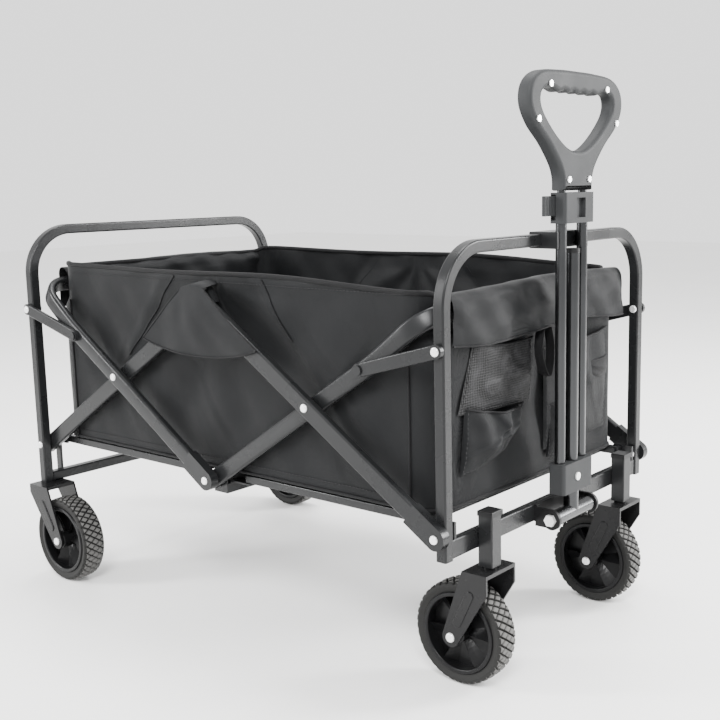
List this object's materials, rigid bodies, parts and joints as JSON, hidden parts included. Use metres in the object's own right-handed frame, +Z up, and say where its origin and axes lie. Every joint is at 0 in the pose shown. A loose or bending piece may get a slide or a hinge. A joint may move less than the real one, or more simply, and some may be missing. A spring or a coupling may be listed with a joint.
{
  "type": "folding camp wagon",
  "caption": "Folding camp wagon: scissor-bar steel frame, soft fabric basket, telescoping pull handle, swivelling front casters and fixed rear wheels",
  "frame": {"origin": "on the floor, at the centre of the footprint box of the open wagon", "axes": "+X to the front where the handle is, +Y to the wagon's left, +Z up"},
  "size_m": [0.9038, 0.579, 0.7926],
  "materials": {
    "frame_metal": "satin dark grey powder coat",
    "tube_metal": "semi-gloss dark grey",
    "zinc": "bright zinc",
    "grip_plastic": "satin moulded",
    "black_plastic": "matt moulded",
    "hub_plastic": "satin moulded",
    "tyre": "block tread",
    "oxford": "coated oxford weave",
    "mesh": "open mesh"
  },
  "bodies": {
    "front_frame": {"front_frame_tube": "frame_metal", "front_crossbar": "frame_metal", "caster_sockets": "frame_metal", "caster_socket_caps": "black_plastic", "front_floor_brackets": "frame_metal", "front_frame_rivets": "zinc", "handle_yoke": "black_plastic", "handle_pivot_bolt": "zinc", "rail_clip": "black_plastic"},
    "front_long_bars": {"long_bars_front": "frame_metal", "front_foot_sleeves": "black_plastic", "front_bar_rivets": "zinc"},
    "rear_long_bars": {"long_bars_rear": "frame_metal", "rear_cross_rivets": "zinc"},
    "rear_frame": {"rear_frame_tube": "frame_metal", "rear_crossbar": "frame_metal", "rear_forks": "frame_metal", "rear_axles": "zinc", "rear_floor_brackets": "frame_metal", "rear_frame_rivets": "zinc"},
    "rear_rail_bars": {"rail_bar_rear": "frame_metal", "hub_sleeves": "black_plastic", "hub_rivets": "zinc"},
    "front_rail_bars": {"rail_bar_front": "frame_metal"},
    "hub": {"hub_beam": "frame_metal", "hub_beam_pad": "oxford"},
    "rear_link_pair": {"rear_links": "frame_metal"},
    "front_link_pair": {"front_links": "frame_metal"},
    "floor_rear": {"floor_frame_rear": "frame_metal"},
    "floor_front": {"floor_frame_front": "frame_metal"},
    "basket": {"basket_shell": "oxford", "rail_sleeve_rear": "oxford", "rail_sleeve_front": "oxford", "hinge_caps": "oxford", "mesh_pocket": "mesh", "flap_pocket": "oxford", "side_pocket": "oxford", "pull_strap": "oxford"},
    "caster_right": {"caster_fork_right": "frame_metal", "caster_axle_right": "zinc"},
    "caster_left": {"caster_fork_left": "frame_metal", "caster_axle_left": "zinc"},
    "wheel_rear_right": {"wheel_hub_rear_right": "hub_plastic", "tyre_rear_right": "tyre"},
    "wheel_rear_left": {"wheel_hub_rear_left": "hub_plastic", "tyre_rear_left": "tyre"},
    "wheel_front_right": {"wheel_hub_front_right": "hub_plastic", "tyre_front_right": "tyre"},
    "wheel_front_left": {"wheel_hub_front_left": "hub_plastic", "tyre_front_left": "tyre"},
    "handle": {"handle_stem": "tube_metal", "handle_stem_cap": "black_plastic", "handle_side_tubes": "tube_metal", "handle_bracket": "grip_plastic", "handle_bracket_rivet": "zinc", "handle_collar": "grip_plastic"},
    "thumb_lever": {"handle_lever": "grip_plastic"},
    "grip_slide": {"grip": "grip_plastic", "grip_screws": "zinc", "handle_inner_rods": "tube_metal"}
  },
  "joints": [
    {"name": "fold", "type": "hinge", "parent": "front_frame", "child": "front_long_bars", "pos_m": [0.4025, 0, 0.223], "axis": [0, 1, 0], "range_deg": [0, 45.3], "deforming": ["basket_shell", "rail_sleeve_rear", "rail_sleeve_front", "hinge_caps", "mesh_pocket", "flap_pocket", "side_pocket", "pull_strap"]},
    {"name": "rear_long_bar_turn", "type": "hinge", "parent": "front_long_bars", "child": "rear_long_bars", "pos_m": [-0.0175, 0, 0.49245], "axis": [0, 1, 0], "range_deg": [-90.96, 0]},
    {"name": "rear_frame_turn", "type": "hinge", "parent": "rear_long_bars", "child": "rear_frame", "pos_m": [-0.4375, 0, 0.223], "axis": [0, 1, 0], "range_deg": [0, 45.48]},
    {"name": "front_rail_bar_turn", "type": "hinge", "parent": "front_long_bars", "child": "front_rail_bars", "pos_m": [0.18787, 0, 0.36069], "axis": [0, 1, 0], "range_deg": [-90.96, 0]},
    {"name": "rear_rail_bar_turn", "type": "hinge", "parent": "rear_long_bars", "child": "rear_rail_bars", "pos_m": [-0.22287, 0, 0.36069], "axis": [0, 1, 0], "range_deg": [0, 90.96]},
    {"name": "hub_turn", "type": "hinge", "parent": "rear_rail_bars", "child": "hub", "pos_m": [-0.0175, 0, 0.22894], "axis": [0, 1, 0], "range_deg": [-45.48, 0]},
    {"name": "rear_link_turn", "type": "hinge", "parent": "rear_frame", "child": "rear_link_pair", "pos_m": [-0.4375, 0, 0.4532], "axis": [0, 1, 0], "range_deg": [-92.01, 0]},
    {"name": "front_link_turn", "type": "hinge", "parent": "front_frame", "child": "front_link_pair", "pos_m": [0.4025, 0, 0.4532], "axis": [0, 1, 0], "range_deg": [0, 92.01]},
    {"name": "floor_rear_turn", "type": "hinge", "parent": "rear_frame", "child": "floor_rear", "pos_m": [-0.4175, 0, 0.23], "axis": [0, 1, 0], "range_deg": [-88.23, 0]},
    {"name": "floor_front_turn", "type": "hinge", "parent": "front_frame", "child": "floor_front", "pos_m": [0.3825, 0, 0.23], "axis": [0, 1, 0], "range_deg": [0, 88.23]},
    {"name": "basket_turn", "type": "hinge", "parent": "front_long_bars", "child": "basket", "pos_m": [-0.0175, 0, 0.49245], "axis": [0, 1, 0], "range_deg": [-45.48, 0]},
    {"name": "caster_swivel_right", "type": "hinge", "parent": "front_frame", "child": "caster_right", "pos_m": [0.4195, -0.175, 0.18], "axis": [0, 0, 1], "continuous": true},
    {"name": "caster_swivel_left", "type": "hinge", "parent": "front_frame", "child": "caster_left", "pos_m": [0.4195, 0.175, 0.18], "axis": [0, 0, 1], "continuous": true},
    {"name": "wheel_spin_rear_right", "type": "hinge", "parent": "rear_frame", "child": "wheel_rear_right", "pos_m": [-0.3795, -0.26, 0.07], "axis": [0, 1, 0], "continuous": true},
    {"name": "wheel_spin_rear_left", "type": "hinge", "parent": "rear_frame", "child": "wheel_rear_left", "pos_m": [-0.3795, 0.26, 0.07], "axis": [0, 1, 0], "continuous": true},
    {"name": "wheel_spin_front_right", "type": "hinge", "parent": "caster_right", "child": "wheel_front_right", "pos_m": [0.3795, -0.175, 0.07], "axis": [0, 1, 0], "continuous": true},
    {"name": "wheel_spin_front_left", "type": "hinge", "parent": "caster_left", "child": "wheel_front_left", "pos_m": [0.3795, 0.175, 0.07], "axis": [0, 1, 0], "continuous": true},
    {"name": "handle_tilt", "type": "hinge", "parent": "front_frame", "child": "handle", "pos_m": [0.4355, 0, 0.197], "axis": [0, 1, 0], "range_deg": [0, 95]},
    {"name": "thumb_lever_press", "type": "hinge", "parent": "handle", "child": "thumb_lever", "pos_m": [0.428, -0.0362, 0.618], "axis": [0, 0, 1], "range_deg": [-12, 0], "stiffness_Nm_per_rad": 0.3},
    {"name": "handle_extend", "type": "slide", "parent": "handle", "child": "grip_slide", "axis": [0, 0, 1], "range_m": [0, 0.28]}
  ],
  "couplings": [
    {"joint": "rear_long_bar_turn", "follows": "fold", "ratio": -2},
    {"joint": "rear_frame_turn", "follows": "fold", "ratio": 1},
    {"joint": "front_rail_bar_turn", "follows": "fold", "ratio": -2},
    {"joint": "rear_rail_bar_turn", "follows": "fold", "ratio": 2},
    {"joint": "hub_turn", "follows": "fold", "ratio": -1},
    {"joint": "rear_link_turn", "follows": "fold", "ratio": -2.023},
    {"joint": "front_link_turn", "follows": "fold", "ratio": 2.023},
    {"joint": "floor_rear_turn", "follows": "fold", "ratio": -1.94},
    {"joint": "floor_front_turn", "follows": "fold", "ratio": 1.94},
    {"joint": "basket_turn", "follows": "fold", "ratio": -1}
  ]
}
